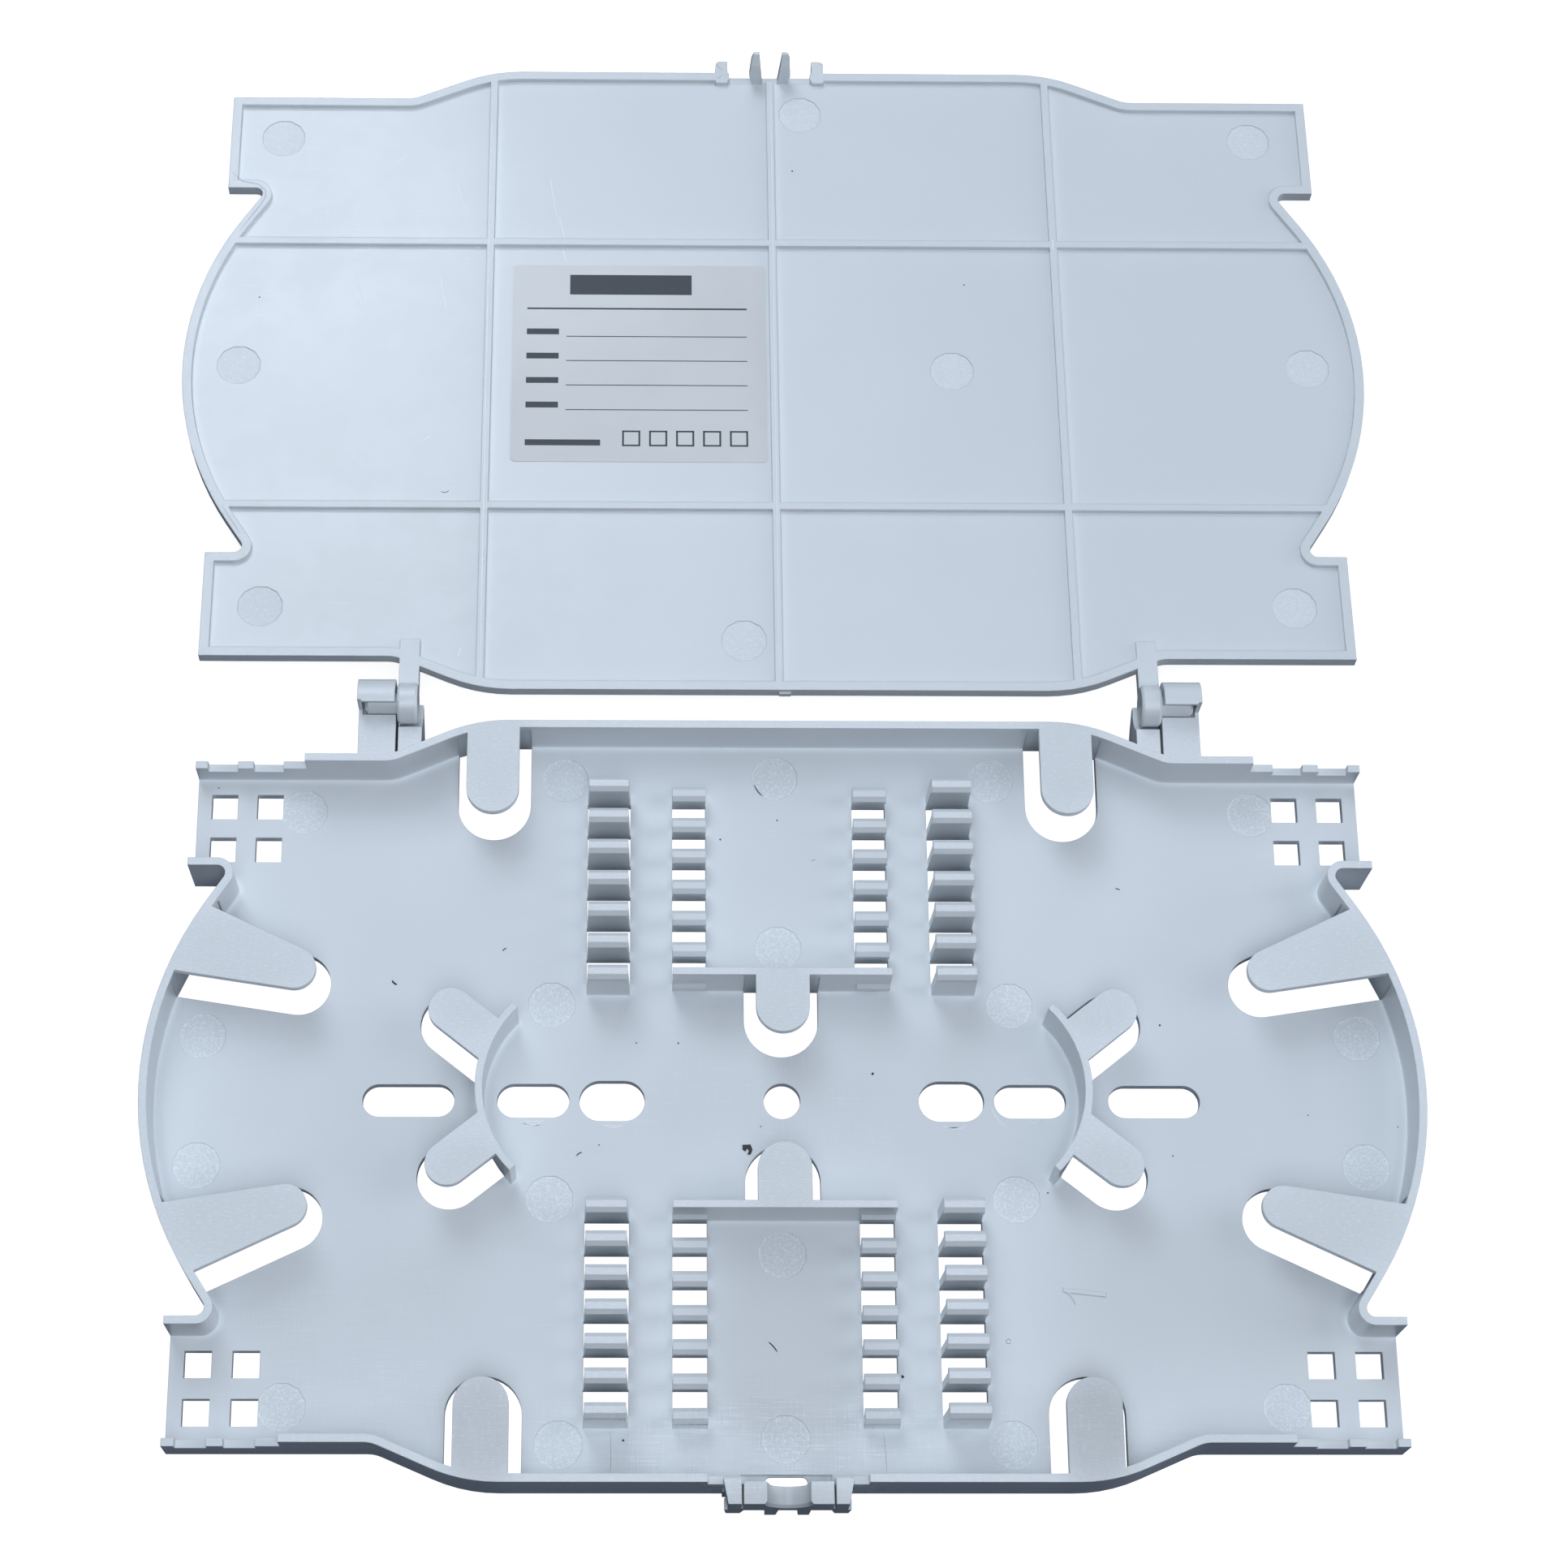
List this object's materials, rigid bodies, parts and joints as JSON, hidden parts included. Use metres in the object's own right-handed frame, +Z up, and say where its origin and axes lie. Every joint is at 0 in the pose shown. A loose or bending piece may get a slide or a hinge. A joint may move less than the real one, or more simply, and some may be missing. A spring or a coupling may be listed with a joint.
{
  "type": "fibre splice tray",
  "caption": "Flat plastic tray for fusion splices with looped fibre guides, splice combs, cable tie anchors and a hinged lid that clips shut, shown open.",
  "frame": {"origin": "centre hole of the tray, at the underside of its floor", "axes": "+X right along the tray's length, +Y towards the hinge and the opened lid, +Z up out of the tray"},
  "size_m": [0.19, 0.2419, 0.0142],
  "materials": {
    "tray_plastic": "satin moulded",
    "lid_plastic": "satin moulded",
    "label_paper": "matt film"
  },
  "bodies": {
    "base": {"base_tray": "tray_plastic"},
    "lid": {"lid": "lid_plastic", "label": "label_paper"}
  },
  "joints": [
    {"name": "lid_hinge", "type": "hinge", "parent": "base", "child": "lid", "pos_m": [0, 0.0604, 0.0105], "axis": [1, 0, 0], "range_deg": [0, 184.33]}
  ]
}
